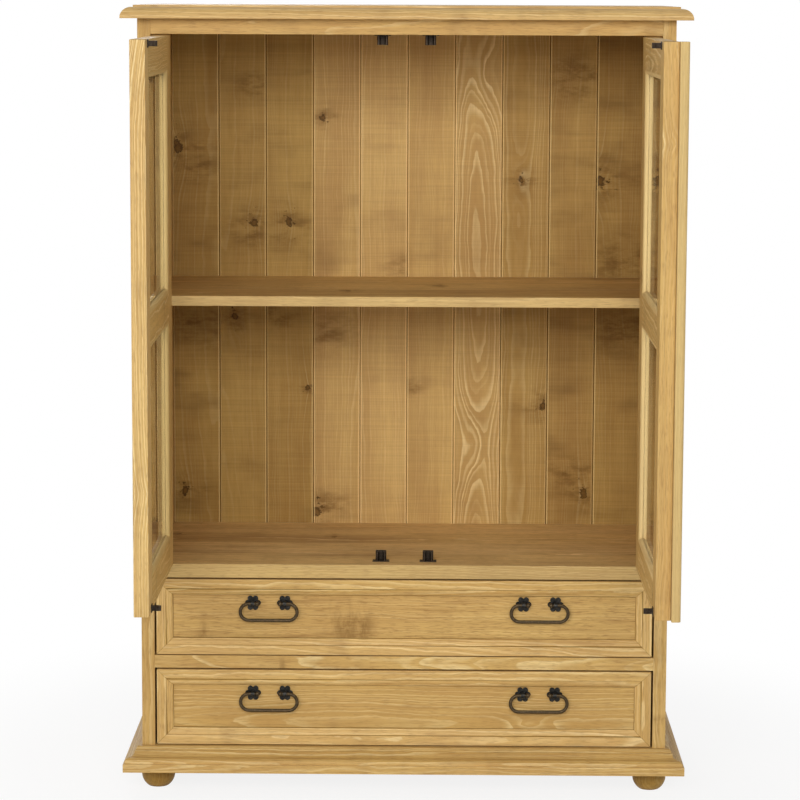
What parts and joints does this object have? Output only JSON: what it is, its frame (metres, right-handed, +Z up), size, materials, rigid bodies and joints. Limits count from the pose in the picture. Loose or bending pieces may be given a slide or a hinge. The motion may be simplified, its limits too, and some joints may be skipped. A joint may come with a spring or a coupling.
{
  "type": "display cabinet",
  "caption": "Free-standing waxed pine cabinet with glazed doors over framed drawers with iron bail pulls, a matchboarded back, a shelf, a moulded base and bun feet.",
  "frame": {"origin": "on the floor, under the middle of the carcass's width and depth", "axes": "+Z up, +Y towards the wall behind the cabinet, +X to the right seen from the front"},
  "size_m": [1, 0.8825, 1.4],
  "materials": {
    "waxed_pine": "waxed, honey coloured",
    "inside_pine": "waxed, darker",
    "plain_pine": "planed, unfinished",
    "window_glass": "clear",
    "forged_iron": "black, waxed",
    "browned_steel": "browned"
  },
  "bodies": {
    "carcass": {"back_boards": "inside_pine", "back_top_rail": "inside_pine", "base_board": "plain_pine", "bottom_front_rail": "waxed_pine", "bun_feet": "waxed_pine", "cabinet_floor": "inside_pine", "door_catches": "browned_steel", "drawer_divider_rail": "waxed_pine", "drawer_runners": "plain_pine", "foot_blocks": "plain_pine", "frieze_rail": "waxed_pine", "front_base_moulding": "waxed_pine", "hinge_frame_knuckles": "browned_steel", "left_base_moulding": "waxed_pine", "left_side_panel": "waxed_pine", "right_base_moulding": "waxed_pine", "right_side_panel": "waxed_pine", "shelf": "inside_pine", "shelf_battens": "inside_pine", "top_board": "waxed_pine"},
    "left_door": {"left_door_bottom_rail": "waxed_pine", "left_door_glazing_beads": "waxed_pine", "left_door_hinge_knuckles": "browned_steel", "left_door_hinge_stile": "waxed_pine", "left_door_meeting_stile": "waxed_pine", "left_door_middle_rail": "waxed_pine", "left_door_panes": "window_glass", "left_door_sash_mouldings": "waxed_pine", "left_door_strikes": "browned_steel", "left_door_top_rail": "waxed_pine"},
    "lower_drawer": {"lower_drawer_back": "plain_pine", "lower_drawer_bottom": "plain_pine", "lower_drawer_front_moulding": "waxed_pine", "lower_drawer_front_panel": "waxed_pine", "lower_drawer_handle_nuts": "browned_steel", "lower_drawer_rosettes": "forged_iron", "lower_drawer_sides": "plain_pine"},
    "lower_drawer_left_bail": {"lower_drawer_left_bail": "forged_iron"},
    "lower_drawer_right_bail": {"lower_drawer_right_bail": "forged_iron"},
    "right_door": {"right_door_astragal": "waxed_pine", "right_door_bottom_rail": "waxed_pine", "right_door_glazing_beads": "waxed_pine", "right_door_hinge_knuckles": "browned_steel", "right_door_hinge_stile": "waxed_pine", "right_door_meeting_stile": "waxed_pine", "right_door_middle_rail": "waxed_pine", "right_door_panes": "window_glass", "right_door_sash_mouldings": "waxed_pine", "right_door_strikes": "browned_steel", "right_door_top_rail": "waxed_pine"},
    "upper_drawer": {"upper_drawer_back": "plain_pine", "upper_drawer_bottom": "plain_pine", "upper_drawer_front_moulding": "waxed_pine", "upper_drawer_front_panel": "waxed_pine", "upper_drawer_handle_nuts": "browned_steel", "upper_drawer_rosettes": "forged_iron", "upper_drawer_sides": "plain_pine"},
    "upper_drawer_left_bail": {"upper_drawer_left_bail": "forged_iron"},
    "upper_drawer_right_bail": {"upper_drawer_right_bail": "forged_iron"}
  },
  "joints": [
    {"name": "left_door_hinge", "type": "hinge", "parent": "carcass", "child": "left_door", "pos_m": [-0.4435, -0.218, 0.88], "axis": [0, 0, 1], "range_deg": [-80, 90]},
    {"name": "right_door_hinge", "type": "hinge", "parent": "carcass", "child": "right_door", "pos_m": [0.4435, -0.218, 0.88], "axis": [0, 0, -1], "range_deg": [-80, 90]},
    {"name": "lower_drawer_slide", "type": "slide", "parent": "carcass", "child": "lower_drawer", "axis": [0, -1, 0], "range_m": [0, 0.3]},
    {"name": "lower_drawer_left_bail_swing", "type": "hinge", "parent": "lower_drawer", "child": "lower_drawer_left_bail", "pos_m": [-0.241, -0.209, 0.17938], "axis": [-1, 0, 0], "range_deg": [-10, 165]},
    {"name": "lower_drawer_right_bail_swing", "type": "hinge", "parent": "lower_drawer", "child": "lower_drawer_right_bail", "pos_m": [0.241, -0.209, 0.17938], "axis": [-1, 0, 0], "range_deg": [-10, 165]},
    {"name": "upper_drawer_slide", "type": "slide", "parent": "carcass", "child": "upper_drawer", "axis": [0, -1, 0], "range_m": [0, 0.3]},
    {"name": "upper_drawer_left_bail_swing", "type": "hinge", "parent": "upper_drawer", "child": "upper_drawer_left_bail", "pos_m": [-0.241, -0.209, 0.34338], "axis": [-1, 0, 0], "range_deg": [-10, 165]},
    {"name": "upper_drawer_right_bail_swing", "type": "hinge", "parent": "upper_drawer", "child": "upper_drawer_right_bail", "pos_m": [0.241, -0.209, 0.34338], "axis": [-1, 0, 0], "range_deg": [-10, 165]}
  ]
}
